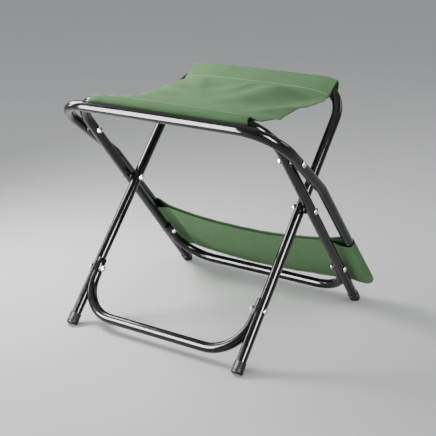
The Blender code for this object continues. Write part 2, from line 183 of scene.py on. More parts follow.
def bright_zinc():
    """Bright zinc plate on the bolts and nuts, with fine turning marks and dull patches."""
    made, shader, nodes, links = shader_material("bright_zinc")
    place = place_of(nodes)
    patch = noise_node(nodes, links, place, 260, 3, 0.6)
    colour = mixed(nodes, links, patch, (0.78, 0.79, 0.8), (0.6, 0.61, 0.63))
    links.new(colour, shader.inputs["Base Color"])
    shader.inputs["Metallic"].default_value = 1.0
    links.new(spread(nodes, links, patch, 0.3, 0.75, 0.13, 0.3), shader.inputs["Roughness"])
    marks = noise_node(nodes, links, place, 2200, 2, 0.5)
    bump(nodes, links, shader, marks, 0.00002, 0.3)
    return made


def weave_height(nodes, links, pitch):
    """The height of a plain weave: threads along both ways of the cloth that pass over and
    under each other. The cloth's own coordinates are in metres."""
    own = nodes.new("ShaderNodeAttribute")
    own.attribute_name = "cloth_place"
    parts = nodes.new("ShaderNodeSeparateXYZ")
    links.new(own.outputs["Vector"], parts.inputs["Vector"])
    waves = []
    for axis in ("X", "Y"):
        scaled = nodes.new("ShaderNodeMath")
        scaled.operation = "MULTIPLY"
        scaled.inputs[1].default_value = math.pi / pitch
        links.new(parts.outputs[axis], scaled.inputs[0])
        wave = nodes.new("ShaderNodeMath")
        wave.operation = "SINE"
        links.new(scaled.outputs["Value"], wave.inputs[0])
        waves.append(wave.outputs["Value"])
    crossing = nodes.new("ShaderNodeMath")
    crossing.operation = "MULTIPLY"
    links.new(waves[0], crossing.inputs[0])
    links.new(waves[1], crossing.inputs[1])
    return own.outputs["Vector"], crossing.outputs["Value"]


def sage_cloth(name, light, dark, pitch=0.0011):
    """Sage green polyester: a plain weave, slubs, soft shade patches and a dry sheen."""
    made, shader, nodes, links = shader_material(name)
    own, crossing = weave_height(nodes, links, pitch)
    patch = noise_node(nodes, links, own, 24, 4, 0.6)
    colour = mixed(nodes, links, spread(nodes, links, patch, 0.3, 0.7, 0, 1), light, dark)
    thread = spread(nodes, links, crossing, -1, 1, 0, 0.22)
    deep = tuple(each * 0.62 for each in dark)
    colour = mixed(nodes, links, thread, colour, deep)
    stretched = nodes.new("ShaderNodeMapping")
    stretched.inputs["Scale"].default_value = (60, 1400, 1)
    links.new(own, stretched.inputs["Vector"])
    slub = noise_node(nodes, links, stretched.outputs["Vector"], 1, 2, 0.5)
    pale = tuple(min(1, each * 1.16) for each in light)
    colour = mixed(nodes, links, spread(nodes, links, slub, 0.55, 0.85, 0, 0.5), colour, pale)
    links.new(colour, shader.inputs["Base Color"])
    shader.inputs["Roughness"].default_value = 0.8
    shader.inputs["Specular IOR Level"].default_value = 0.02
    shader.inputs["Sheen Weight"].default_value = 0.1
    shader.inputs["Sheen Roughness"].default_value = 0.45
    shader.inputs["Sheen Tint"].default_value = (0.7, 0.9, 0.65, 1)
    first = bump(nodes, links, shader, crossing, 0.00012, 0.55)
    crumple = noise_node(nodes, links, own, 170, 3, 0.55)
    bump(nodes, links, shader, crumple, 0.0004, 0.3, first)
    return made


def sewing_thread():
    """Pale green polyester thread with its twist."""
    made, shader, nodes, links = shader_material("pale_thread")
    place = place_of(nodes)
    twist = noise_node(nodes, links, place, 2500, 2, 0.5)
    colour = mixed(nodes, links, twist, (0.3, 0.45, 0.27), (0.5, 0.64, 0.45))
    links.new(colour, shader.inputs["Base Color"])
    shader.inputs["Roughness"].default_value = 0.6
    bump(nodes, links, shader, twist, 0.00006, 0.5)
    return made


# ---------------------------------------------------------------- mesh building


def piece(name, points, faces, skin, sharp=40, cloth_place=None):
    """A smooth-shaded mesh object. `cloth_place` gives each point's place on the flat cloth."""
    mesh = bpy.data.meshes.new(name)
    mesh.from_pydata([tuple(point) for point in points], [], faces)
    mesh.validate()
    mesh.shade_smooth()
    mesh.set_sharp_from_angle(angle=math.radians(sharp))
    mesh.materials.append(skin)
    if cloth_place is not None:
        stored = mesh.attributes.new("cloth_place", "FLOAT_VECTOR", "POINT")
        stored.data.foreach_set("vector", np.asarray(cloth_place, np.float32).ravel())
    made = bpy.data.objects.new(name, mesh)
    bpy.context.scene.collection.objects.link(made)
    return made


def grid_faces(rows, columns, closed=False):
    """Quads between the points of a grid listed row by row. `closed` joins the last column to
    the first."""
    faces = []
    for row in range(rows - 1):
        for column in range(columns if closed else columns - 1):
            after = (column + 1) % columns
            start = row * columns
            faces.append((start + column, start + after, start + columns + after, start + columns + column))
    return faces


def lofted(name, loops, skin, sharp=40):
    """A closed solid through loops with the same number of points, filled at both ends."""
    sides = len(loops[0])
    points = [point for loop in loops for point in loop]
    faces = grid_faces(len(loops), sides, closed=True)
    faces.append(tuple(range(sides))[::-1])
    faces.append(tuple(range(len(points) - sides, len(points))))
    return piece(name, points, faces, skin, sharp)


def ring(centre, tangent, side, radius):
    """A loop of points about `centre`, starting towards `side`."""
    side = (side - tangent * side.dot(tangent)).normalized()
    other = tangent.cross(side)
    loop = []
    for step in range(TUBE_SIDES):
        angle = math.tau * step / TUBE_SIDES
        loop.append(centre + (side * math.cos(angle) + other * math.sin(angle)) * radius)
    return loop


def rounded(corners, radii):
    """The line through `corners`, with each inner corner turned into an arc."""
    corners = [Vector(corner) for corner in corners]
    line = [corners[0]]
    for before, corner, after, radius in zip(corners, corners[1:], corners[2:], radii):
        back = (before - corner).normalized()
        on = (after - corner).normalized()
        turn = math.pi - back.angle(on)
        centre = corner + (back + on).normalized() * radius / math.cos(turn / 2)
        setback = radius * math.tan(turn / 2)
        first = corner + back * setback - centre
        last = corner + on * setback - centre
        steps = max(2, round(turn / BEND_STEP))
        for step in range(steps + 1):
            share = step / steps
            part = first * math.sin((1 - share) * turn) + last * math.sin(share * turn)
            line.append(centre + part / math.sin(turn))
    line.append(corners[-1])
    return line


def tangents(line):
    found = []
    for step in range(len(line)):
        before = line[max(step - 1, 0)]
        after = line[min(step + 1, len(line) - 1)]
        found.append((after - before).normalized())
    return found


def eased(share):
    share = min(1.0, max(0.0, share))
    return share * share * (3 - 2 * share)


def leaning(axle, tilt):
    """Puts a frame's own upright plane, with its axle at the origin, in its place."""
    return Matrix.Translation(axle) @ Matrix.Rotation(tilt, 4, "X")


class Frame:
    """Where a tube frame stands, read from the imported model: its bar is its highest and its
    outermost stretch, on the side that `facing` says (+1 for +Y)."""

    def __init__(self, node, axle, facing):
        low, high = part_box(node)
        bar_y = high.y - TUBE_R if facing > 0 else low.y + TUBE_R
        rise = high.z - TUBE_R - axle.z
        self.half = high.x - TUBE_R
        self.tilt = math.atan2(axle.y - bar_y, rise)
        self.bar = math.hypot(bar_y - axle.y, rise)
        self.floor = -axle.z / math.cos(self.tilt)
        self.place = leaning(axle, self.tilt)


INNER = Frame("inner_frame", PIVOT, 1)
OUTER = Frame("outer_frame", PIVOT, -1)
BACKREST = Frame("backrest_frame", HINGE, -1)


# ---------------------------------------------------------------- tubes

TUBE_FOOT = 0.0085
KINK = math.radians(10.5)
KINK_FROM_HINGE = 0.093
ARM_LENGTH = 0.275
STRETCHER_INSET = 0.0055
STRETCHER_TAIL = 0.017
PRESSED_INSET = 0.0038
PRESSED_LENGTH = 0.012
PRESSED_EASE = 0.01
PRESSED_STEPS = 8
PRESSED_REST = 0.002
PRESSED_EDGE = 0.0004
MOUTH_DEPTH = 0.012
LIP = 0.0006
# A tube's open end, from inside out: how far in from its outer side, and how far up.
LIP_PROFILE = (
    (1.3 * TUBE_WALL, -MOUTH_DEPTH),
    (TUBE_WALL, 0),
    (0.5 * TUBE_WALL, LIP),
    (0.0002, 0.7 * LIP),
)


def tube(name, line, place, skin):
    """A round tube along a flat line that lies in a frame's plane."""
    normal = Vector((0, 1, 0))
    loops = []
    for centre, tangent in zip(line, tangents(line)):
        loops.append([place @ point for point in ring(centre, tangent, normal, TUBE_R)])
    return lofted(name, loops, skin)


def u_line(where, foot):
    corners = [(-where.half, 0, foot), (-where.half, 0, where.bar), (where.half, 0, where.bar)]
    corners.append((where.half, 0, foot))
    return rounded(corners, [BEND_R, BEND_R])


def crossing_tube(name, node, where, skin):
    """One of the two U frames, down to just inside its foot caps."""
    made = tube(name, u_line(where, where.floor + TUBE_FOOT), where.place, skin)
    dress(made, node, "black_gloss_paint", node)


def dress(made, body, slot, *nodes):
    """Puts a piece on its body, in place of the nodes it stands for. Its material slot is not used."""
    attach(made, body)
    if nodes:
        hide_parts(*nodes)


def backrest_tube(skin):
    """The widest U frame, with a slight bend in each arm."""
    arm_y = math.sin(KINK) * ARM_LENGTH
    arm_z = math.cos(KINK) * ARM_LENGTH
    end = Vector((BACKREST.half, -arm_y, -KINK_FROM_HINGE - arm_z))
    kink = Vector((BACKREST.half, 0, -KINK_FROM_HINGE))
    corner = Vector((BACKREST.half, 0, BACKREST.bar))
    right = [end, kink, corner]
    left = [Vector((-place.x, place.y, place.z)) for place in reversed(right)]
    line = rounded(right + left, [KINK_R, BEND_R, BEND_R, KINK_R])
    made = tube("backrest_tube", line, BACKREST.place, skin)
    dress(made, "backrest", "black_gloss_paint", "backrest_frame")


def stretcher_tube(name, body, where, skin):
    """A low U of tube whose ends are pressed round the insides of the legs."""
    low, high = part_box(name + "_bolt_left")
    bolt_up = (where.place.inverted() @ ((low + high) / 2)).z
    bottom = (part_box(name)[0].z + TUBE_R - PIVOT.z) / math.cos(where.tilt)
    arm_x = where.half - STRETCHER_INSET
    end_x = where.half - PRESSED_INSET
    arm_top = bolt_up - PRESSED_LENGTH
    corners = [(-arm_x, 0, arm_top), (-arm_x, 0, bottom), (arm_x, 0, bottom), (arm_x, 0, arm_top)]
    arm = []
    for step in range(1, PRESSED_STEPS + 1):
        share = step / PRESSED_STEPS
        x = arm_x + (end_x - arm_x) * eased(share)
        arm.append(Vector((x, 0, arm_top + PRESSED_EASE * share)))
    for past in (PRESSED_REST, STRETCHER_TAIL - LIP):
        arm.append(Vector((end_x, 0, bolt_up + past)))
    mirrored = [Vector((-point.x, 0, point.z)) for point in reversed(arm)]
    line = mirrored + rounded(corners, [BEND_R, BEND_R]) + arm
    normal = Vector((0, 1, 0))
    loops = []
    for centre, tangent in zip(line, tangents(line)):
        loop = ring(centre, tangent, normal.cross(tangent), TUBE_R)
        loops.append(pressed_round(loop, centre, where.half))
    loops = end_lip(loops[0]) + loops + end_lip(loops[-1])[::-1]
    loops = [[where.place @ point for point in loop] for loop in loops]
    made = lofted(name + "_tube", loops, skin, 50)
    dress(made, body, "black_gloss_paint", name)


def pressed_round(loop, centre, leg):
    """Keeps a loop's points off the round leg beside it, so that it is pressed round the leg."""
    pressed = []
    for point in loop:
        far = abs(point.x) < abs(centre.x)
        reach = TUBE_R + GAP + (PRESSED_EDGE if far else 0)
        limit = leg - math.sqrt(max(0, reach**2 - point.y**2))
        x = math.copysign(min(abs(point.x), limit), point.x)
        pressed.append(Vector((x, point.y, point.z)))
    return pressed


def end_lip(rim):
    """The loops that lead from inside a tube's open end out round its lip to `rim`."""
    middle = sum(rim, Vector()) / len(rim)
    rows = []
    for inset, rise in LIP_PROFILE:
        loop = []
        for point in rim:
            offset = point - middle
            x = drawn_in(offset.x, inset)
            y = drawn_in(offset.y, inset)
            loop.append(middle + Vector((x, y, rise)))
        rows.append(loop)
    return rows


def drawn_in(distance, inset):
    """A distance made shorter by `inset`, but never by more than nine tenths."""
    return distance * (1 - min(0.9, inset / max(abs(distance), 1e-6)))


# ---------------------------------------------------------------- hardware


def circle_about_x(x, radius, sides=ROUND_SIDES):
    """Points round the X axis."""
    loop = []
    for step in range(sides):
        angle = math.tau * step / sides
        loop.append(Vector((x, radius * math.cos(angle), radius * math.sin(angle))))
    return loop


def turned_about_x(name, profile, place, skin):
    """A solid turned about +X from (x, radius) points, with no radius of 0."""
    loops = []
    for x, radius in profile:
        loops.append([place @ point for point in circle_about_x(x, radius)])
    return lofted(name, loops, skin, 35)


def dome(x, radius, height, sign, steps=7):
    """The profile of a flattened dome from its rim at x to just short of its tip."""
    rows = []
    for step in range(steps + 1):
        angle = math.pi / 2 * step / (steps + 0.35)
        rows.append((x + sign * height * math.sin(angle), radius * math.cos(angle)))
    return rows


def side_of(node):
    """Which side a node is on, +1 or -1, how far out it reaches, how far in, and the transform
    that puts what is made about +X on its axis, on that side."""
    low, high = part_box(node)
    sign = 1 if low.x + high.x > 0 else -1
    middle = (low + high) / 2
    place = Matrix.Translation((0, middle.y, middle.z)) @ Matrix.Scale(sign, 4, (1, 0, 0))
    return sign, max(abs(low.x), abs(high.x)), min(abs(low.x), abs(high.x)), place


def bolt(node, body, skin):
    """A domed bolt: its shank, a thin flange under the head and the head."""
    sign, outer, inner, place = side_of(node)
    under = outer - HEAD_HEIGHT
    over = under + HEAD_FLANGE
    profile = [(inner, SHANK_R - 0.0004), (inner + 0.0004, SHANK_R), (under, SHANK_R)]
    profile += [(under, HEAD_R - HEAD_EDGE), (under + HEAD_EDGE, HEAD_R)]
    profile += [(over - 0.0002, HEAD_R), (over, HEAD_R - HEAD_EDGE)]
    profile += dome(over, HEAD_R - 2 * HEAD_EDGE, HEAD_HEIGHT - HEAD_FLANGE, 1)
    made = turned_about_x(node + "_look", profile, place, skin)
    if sign < 0:
        made.data.flip_normals()
    dress(made, body, "zinc_steel", node)


def cap_nut(node, body, skin):
    """A hexagonal nut with a closed dome."""
    sign, face, _, place = side_of(node)
    rim = NUT_HALF_FLAT * NUT_CORNER
    loops = [circle_about_x(face, NUT_HALF_FLAT * NUT_FACE, NUT_SIDES)]
    for depth in (NUT_EDGE, NUT_BASE - NUT_EDGE):
        loop = []
        for point in circle_about_x(face - depth, 1.0, NUT_SIDES):
            angle = math.atan2(point.z, point.y)
            to_flat = (angle + math.pi / 6) % (math.pi / 3) - math.pi / 6
            radius = min(NUT_HALF_FLAT / math.cos(to_flat), rim)
            loop.append(Vector((point.x, point.y * radius, point.z * radius)))
        loops.append(loop)
    loops.append(circle_about_x(face - NUT_BASE, NUT_HALF_FLAT * NUT_TOP, NUT_SIDES))
    for x, radius in dome(face - NUT_BASE, NUT_DOME_R, NUT_DOME, -1):
        loops.append(circle_about_x(x, radius, NUT_SIDES))
    loops = [[place @ point for point in loop] for loop in loops]
    made = lofted(node + "_look", loops, skin, 30)
    if sign > 0:
        made.data.flip_normals()
    dress(made, body, "zinc_steel", node)


def spacer(node, body, skin):
    """A plastic ring between two tubes, with its edges rounded."""
    low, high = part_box(node)
    middle = (low + high) / 2
    radius = (high.y - low.y) / 2
    edge = radius - SPACER_EDGE
    profile = [(low.x, SPACER_HOLE_R), (low.x, edge), (low.x + SPACER_EDGE, radius)]
    profile += [(high.x - SPACER_EDGE, radius), (high.x, edge), (high.x, SPACER_HOLE_R)]
    made = turned_about_x(node + "_look", profile, Matrix.Translation((0, middle.y, middle.z)), skin)
    dress(made, body, "black_plastic", node)


CAP_R = 0.0092
CAP_LENGTH = 0.0185
CAP_LIFT = 0.002
# The cap's profile: how far a ring is above the bottom, and how far in from CAP_R.
CAP_LOWER = (
    (0, 0.0022),
    (0.0006, 0.0009),
    (0.0018, 0.0001),
    (0.0045, 0),
    (0.0052, 0.00025),
    (0.0059, 0.0001),
)
# The same for its mouth: how far below the top, and how far in.
CAP_MOUTH = (
    (0.0016, 0.0003),
    (0.0008, 0),
    (0.0003, 0.0001),
    (0, 0.0006),
    (0.0001, 0.0009),
    (0.0015, 0.0014),
)


def foot_cap(node, where, side, body, skin):
    """A push-on foot cap: a rounded lip at its mouth, a worn bead round its lower end, and its
    sole worn level with the floor."""
    bottom = where.floor + CAP_LIFT
    top = bottom + CAP_LENGTH
    profile = [(bottom + up, CAP_R - inset) for up, inset in CAP_LOWER]
    profile += [(top - down, CAP_R - inset) for down, inset in CAP_MOUTH]
    centre = Vector((side * where.half, 0, 0))
    loops = []
    for height, radius in profile:
        loop = []
        for point in ring(centre, Vector((0, 0, 1)), Vector((1, 0, 0)), radius):
            point = where.place @ (point + Vector((0, 0, height)))
            point.z = max(point.z, 0.0)
            loop.append(point)
        loops.append(loop)
    made = lofted(node + "_look", loops, skin)
    dress(made, body, "black_plastic", node)


# ---------------------------------------------------------------- seat cloth

FRONT_HALF = 0.1455
REAR_HALF = 0.138
FRONT_SEAM = Vector((0.0122, 0.0068))
REAR_SEAM_MIDDLE = Vector((-0.0288, -0.0052))
REAR_SEAM_END = Vector((-0.0262, -0.0098))
LOOP_R = 0.0098
LEFT_LOOP_R = 0.0089
REAR_CREST_SHARE = 0.3
FRONT_CREST_SHARE = 0.25
LEFT_SHORTER = 0.004
LEFT_SLANT = 0.0095
STANDS_OFF_OVER = 0.125
SNUG_UP_TO = -0.13
SNUG_EASE = 0.06
SEAM_TUCK = 0.0018
SEAM_TUCK_SKEW = 0.0009
MIDDLE_SAG = 0.0145
EDGE_SAG = 0.0095
SAG_SKEW = 0.35
SEAM_LEDGE = 0.0009
SEAM_LEDGE_WIDTH = 0.012
SEAM_STIFF = 0.09
PUCKER = 0.0007
PUCKER_WIDTH = 0.012
WAIST = 0.0035
ACROSS = 150
PANEL_ROWS = 124
LOOP_ROWS = 26
LOOP_FIRST = 78
LOOP_TURN = 260
FRONT_TURN_ROWS = 43
REAR_TURN_ROWS = 52
# A hem's lower layer: how far it is under the seam, and on from there to its inner edge.
UNDER = Vector((0, -0.0013))
FLAP = Vector((0.006, -0.0012))


def bar_drop(where, x):
    """How far a seat bar's centre line has bent down its legs at this x."""
    into = max(0.0, abs(x) - (where.half - BEND_R)) / BEND_R
    return BEND_R * (1 - math.sqrt(max(0.0, 1 - into * into)))


def bar_centre(where, x, share=1.0):
    """(y, z) of the bar's centre at this x, with `share` of the drop of its bends."""
    point = where.place @ Vector((0, 0, where.bar - share * bar_drop(where, x)))
    return Vector((point.y, point.z))


def crest_share(where, x):
    """How much of a seat bar's bend the top of its hem follows. The front hem lies snug on the
    bend at the left and stands off it at the right."""
    if where is INNER:
        return REAR_CREST_SHARE
    return 1 + (FRONT_CREST_SHARE - 1) * eased(x / STANDS_OFF_OVER + 1)


def loop_radius(where, x):
    """How far a hem's cloth is from its bar's centre. The front hem is snug at the left."""
    if where is INNER:
        return LOOP_R
    return LEFT_LOOP_R + (LOOP_R - LEFT_LOOP_R) * eased((x - SNUG_UP_TO) / SNUG_EASE)


def hem_wave(x, angle):
    """Small waves of a hem along and round its bar."""
    broad = noise.noise(Vector((x * 30, angle * 1.1, 9.3)))
    fine = noise.noise(Vector((x * 85 + angle * 2, angle * 2.2, 4.1)))
    return 0.0007 * broad + 0.0003 * fine


def hem_loop(where, x, sign, seam):
    """The (y, z) points of a hem: from its seam over the top of the bar, down its outer side
    and back under it. `sign` is +1 for the bar at +Y."""
    tube_centre = bar_centre(where, x)
    crest_centre = bar_centre(where, x, crest_share(where, x))
    radius = loop_radius(where, x)
    points = [seam]
    for step in range(LOOP_ROWS + 1):
        angle = math.radians(LOOP_FIRST - LOOP_TURN * step / LOOP_ROWS)
        upper = eased((1 + math.sin(angle)) / 2)
        centre = tube_centre.lerp(crest_centre, upper)
        reach = radius + hem_wave(x + 0.4 * sign, angle)
        points.append(centre + Vector((sign * math.cos(angle), math.sin(angle))) * reach)
    return points


def catmull(points, rows):
    """`rows` points evenly spread along a smooth curve through `points`."""
    fine = []
    ends = [points[0] * 2 - points[1]] + points + [points[-1] * 2 - points[-2]]
    for before, one, two, after in zip(ends, ends[1:], ends[2:], ends[3:]):
        for step in range(8):
            t = step / 8
            value = one * 2 + (two - before) * t
            value = value + (before * 2 - one * 5 + two * 4 - after) * t**2
            value = value + (one * 3 - before - two * 3 + after) * t**3
            fine.append(value * 0.5)
    fine.append(points[-1])
    return resampled(fine, rows)


def lengths_along(points):
    """How far along a line each of its points is."""
    lengths = [0.0]
    for one, two in zip(points, points[1:]):
        lengths.append(lengths[-1] + (two - one).length)
    return lengths


def resampled(points, rows):
    """`rows` points evenly spread along a line."""
    lengths = lengths_along(points)
    found = []
    index = 0
    for row in range(rows):
        target = lengths[-1] * row / (rows - 1)
        while index < len(lengths) - 2 and lengths[index + 1] < target:
            index += 1
        step = lengths[index + 1] - lengths[index]
        share = (target - lengths[index]) / step if step else 0
        found.append(points[index].lerp(points[index + 1], min(1.0, share)))
    return found


def seam_points(u):
    """The (y, z) places of the front and rear seams at this share across."""
    end = abs(u) ** 3
    front_x = front_place(u)
    rear_x = u * REAR_HALF
    front = bar_centre(OUTER, front_x, crest_share(OUTER, front_x)) + FRONT_SEAM
    front.y -= (SEAM_TUCK + SEAM_TUCK_SKEW * u) * end
    rear = bar_centre(INNER, rear_x, REAR_CREST_SHARE) + REAR_SEAM_MIDDLE.lerp(REAR_SEAM_END, end)
    return front, rear


def front_place(u, upper=1.0):
    """The x of the front hem at a share across. Its left end slants in towards the top."""
    return u * FRONT_HALF + (LEFT_SHORTER + LEFT_SLANT * upper) * max(0.0, -u)


def ridge(distance, width):
    return math.exp(-((distance / width) ** 2))


# Soft creases of the seat, as (u, v) of the start, (u, v) of the end, width and height. u goes
# from -1 at the left to 1 at the right, and v from 0 at the front seam to 1 at the rear one.
CREASES = [
    ((-1.0, 0.74), (-0.55, 0.70), 0.030, 0.0035),
    ((-1.0, 0.66), (-0.30, 0.58), 0.026, -0.0029),
    ((-1.0, 0.50), (-0.45, 0.47), 0.030, 0.0029),
    ((-1.0, 0.30), (-0.35, 0.27), 0.026, 0.0026),
    ((-1.0, 0.22), (-0.55, 0.20), 0.022, -0.0026),
    ((-1.0, 0.10), (-0.20, 0.17), 0.026, 0.0025),
    ((-0.75, 1.0), (-0.40, 0.62), 0.045, 0.0026),
    ((0.42, 0.98), (-0.12, 0.30), 0.085, 0.0066),
    ((0.88, 0.98), (0.42, 0.30), 0.100, -0.0075),
    ((0.98, 0.62), (0.30, 0.05), 0.050, 0.0026),
    ((1.0, 0.03), (0.45, 0.12), 0.028, 0.0031),
    ((1.0, 0.34), (0.55, 0.42), 0.035, -0.0026),
    ((0.05, 0.98), (-0.20, 0.70), 0.045, 0.0031),
    ((-0.20, 0.98), (-0.60, 0.66), 0.050, -0.0022),
]


def crease_height(u, v):
    """How far the creases lift the cloth at this place on the seat."""
    height = 0.0
    spot = Vector((u * 0.5, v))
    for start, end, width, lift in CREASES:
        one = Vector((start[0] * 0.5, start[1]))
        two = Vector((end[0] * 0.5, end[1]))
        along = two - one
        share = (spot - one).dot(along) / along.length_squared
        near = one + along * min(1.0, max(0.0, share))
        fade = 1 - eased((share - 0.15) / 0.95)
        height += lift * fade * ridge((spot - near).length, width)
    return height


def rumple(u, v):
    """Small irregular waves, mostly along the bars."""
    first = noise.noise(Vector((u * 1.6, v * 5.5, 3.1)))
    second = noise.noise(Vector((u * 4.5, v * 9.0, 7.7)))
    return 0.0015 * first + 0.0008 * second


def panel_point(u, v, front, rear):
    """The place of the seat between its two seams."""
    x = front_place(u) + (u * REAR_HALF - front_place(u)) * v
    x -= u * WAIST * 4 * v * (1 - v)
    towards_front = v ** (1 - SAG_SKEW * abs(u) ** 4)
    bow = 4 * towards_front * (1 - towards_front)
    flat = front.lerp(rear, v)
    sag = EDGE_SAG + (MIDDLE_SAG - EDGE_SAG) * (1 - u * u)
    from_seam = min(v, 1 - v)
    lift = (crease_height(u, v) + rumple(u, v)) * eased(from_seam / SEAM_STIFF)
    pucker = PUCKER * math.exp(-from_seam / PUCKER_WIDTH) * noise.noise(Vector((u * 26, v, 1.3)))
    ledge = SEAM_LEDGE * eased(from_seam / SEAM_LEDGE_WIDTH)
    return Vector((x, flat.x, flat.y - sag * bow + lift + pucker - ledge))


def seat_profile(u):
    """The points of the seat cloth at one share across, from its front hem's inner edge round
    the front bar, over the seat, round the rear bar to its rear hem's inner edge."""
    front, rear = seam_points(u)
    front_x = front_place(u)
    rear_x = u * REAR_HALF
    crest = bar_centre(OUTER, front_x, crest_share(OUTER, front_x)).y + LOOP_R
    loop = hem_loop(OUTER, front_place(u, 0.6), -1, front)
    turn = catmull([front + UNDER + FLAP, front + UNDER] + loop[::-1], FRONT_TURN_ROWS)
    points = []
    for place in turn[:-1]:
        upper = 1 - min(1.0, max(0.0, (crest - place.y) / (2 * LOOP_R)))
        points.append(Vector((front_place(u, upper), place.x, place.y)))
    for row in range(PANEL_ROWS + 1):
        points.append(panel_point(u, row / PANEL_ROWS, front, rear))
    loop = hem_loop(INNER, rear_x, 1, rear)
    flap = rear + UNDER + Vector((-FLAP.x, FLAP.y))
    turn = catmull(loop + [rear + UNDER, flap], REAR_TURN_ROWS)
    for place in turn[1:]:
        sway = 0.0009 * noise.noise(Vector((rear_x * 22, place.x * 60, 5.5)))
        points.append(Vector((rear_x, place.x, place.y + sway)))
    return points


def seat_cloth(skin):
    """The seat with its two hems, as one cloth."""
    shares = [2 * column / ACROSS - 1 for column in range(ACROSS + 1)]
    columns = [seat_profile(u) for u in shares]
    rows = len(columns[0])
    along = lengths_along(columns[ACROSS // 2])
    points = []
    flat = []
    for row in range(rows):
        for u, column in zip(shares, columns):
            points.append(column[row])
            flat.append((u * FRONT_HALF, along[row], 0))
    made = piece("seat_cloth", points, grid_faces(rows, ACROSS + 1), skin, 60, flat)
    keep_off_bars(made)
    thicken(made, CLOTH_THICK)
    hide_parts("seat_panel", "seat_front_sleeve", "seat_rear_sleeve")
    front, rear = seam_points(1.0)
    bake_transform(made)
    print("seat cloth flat", round(2 * FRONT_HALF, 4), round(along[-1], 4))
    return made


def keep_off_bars(made):
    """Pushes the cloth out of the seat bars."""
    radius = TUBE_R + CLOTH_THICK / 2 + 0.0002
    lines = []
    for where in (OUTER, INNER):
        lines.append([where.place @ point for point in u_line(where, where.bar - 0.1)])
    for vertex in made.data.vertices:
        for line in lines:
            away, near = off_line(vertex.co, line)
            if away < radius:
                push = (vertex.co - near) / max(away, 1e-6)
                vertex.co = near + push * radius


def off_line(point, line):
    """The distance from a point to a line of points, and the nearest place on it."""
    best = (1e9, None)
    for one, two in zip(line, line[1:]):
        step = two - one
        share = min(1.0, max(0.0, (point - one).dot(step) / step.length_squared))
        near = one + step * share
        away = (point - near).length
        if away < best[0]:
            best = (away, near)
    return best


def thicken(made, thickness):
    solid = made.modifiers.new("cloth_thickness", "SOLIDIFY")
    solid.thickness = thickness
    solid.offset = 0
    solid.use_rim = True


# ---------------------------------------------------------------- backrest cover

MOUTH = 0.157
MOUTH_DIP = 0.016
COVER_END = 0.287
LOBE_SHORTER = 0.0058
SLEEVE_R = 0.0093
SLEEVE_FLARE = 0.2
SLEEVE_LEAST = 0.35
SLEEVE_ROUND = 1.6
ROW_SPREAD = 1.15
SEWN = 0.040
WEB_HALF = 0.0009
COVER_SAG_MOUTH = 0.0075
COVER_SAG_END = 0.0125
LAYER_STEP = 0.0016
MOUTH_GAP = 0.0016
MOUTH_GAP_DEPTH = 0.012
COVER_ROWS = 60
LOBE_STEPS = 22
FLANK_STEPS = 16
WEB_STEPS = 110


def arm_place():
    """Turns (x, along the arm from the kink, out of the arms' plane) into the row frame."""
    down = Vector((0, -math.sin(KINK), -math.cos(KINK)))
    out = Vector((0, math.cos(KINK), -math.sin(KINK)))
    turn = Matrix((Vector((1, 0, 0)), down, out)).transposed().to_4x4()
    return BACKREST.place @ Matrix.Translation((0, 0, -KINK_FROM_HINGE)) @ turn


ARMS = arm_place()


def cover_section():
    """Once round the cover, as (x, side, swell, angle). side is +1 on the layer away from the
    legs and -1 on the one towards them. swell is 1 beside an arm and 0 between the sewn lines.
    angle goes round the outside of an arm, and is None on the layers."""
    half = BACKREST.half
    sewn = half - SEWN
    web = [(sewn * (2 * step / WEB_STEPS - 1), 0.0) for step in range(WEB_STEPS + 1)]
    flank = [(sewn + SEWN * step / FLANK_STEPS, step / FLANK_STEPS) for step in range(1, FLANK_STEPS)]
    turns = [math.pi * (step / LOBE_STEPS - 0.5) for step in range(LOBE_STEPS + 1)]
    section = [(x, -1, swell, None) for x, swell in web + flank]
    section += [(half, 0, 1.0, angle) for angle in turns]
    section += [(x, 1, swell, None) for x, swell in reversed(web + flank)]
    section += [(-x, 1, swell, None) for x, swell in flank]
    section += [(-half, 0, 1.0, angle + math.pi) for angle in turns]
    section += [(-x, -1, swell, None) for x, swell in reversed(flank)]
    return section


def cover_sag(x, share):
    """How far the two layers sag between the arms, `share` of the way down the cover."""
    t = x / BACKREST.half
    deep = COVER_SAG_MOUTH + (COVER_SAG_END - COVER_SAG_MOUTH) * share
    return deep * max(0.0, 1 - t * t) * (1 - 0.3 * t)


def cover_swell(share_out, a):
    """Half the distance between the layers beside an arm, which closes at the lower end."""
    closing = max(0.0, (a - ARM_LENGTH + 0.001) / (COVER_END - ARM_LENGTH + 0.001))
    close = math.sqrt(max(0.0, 1 - closing * closing))
    return WEB_HALF + (SLEEVE_R - WEB_HALF) * (math.sin(share_out * math.pi / 2) ** SLEEVE_ROUND) * close


def cover_point(x, side, swell, angle, share):
    """A point of the cover `share` of the way down from its mouth, and its place along the arm."""
    start = MOUTH + MOUTH_DIP * max(0.0, 1 - (x / (BACKREST.half - SEWN)) ** 2)
    if side > 0:
        start -= LAYER_STEP
    end = COVER_END - LOBE_SHORTER * swell**2
    a = start + (end - start) * (1 - (1 - share) ** ROW_SPREAD)
    open_half = cover_swell(swell, a)
    if angle is None:
        height = side * open_half
    else:
        height = open_half * math.sin(angle)
        lobe = SLEEVE_R * (1 + SLEEVE_FLARE * share)
        fullness = SLEEVE_LEAST + (1 - SLEEVE_LEAST) * min(1.0, open_half / SLEEVE_R)
        x += lobe * math.cos(angle) * fullness
    height += MOUTH_GAP * math.exp(-(a - start) / MOUTH_GAP_DEPTH) * (1 - swell) * side
    height += cover_wave(x, a, side) * (1 - 0.6 * swell) - cover_sag(x, share)
    return ARMS @ Vector((x, a, height)), a


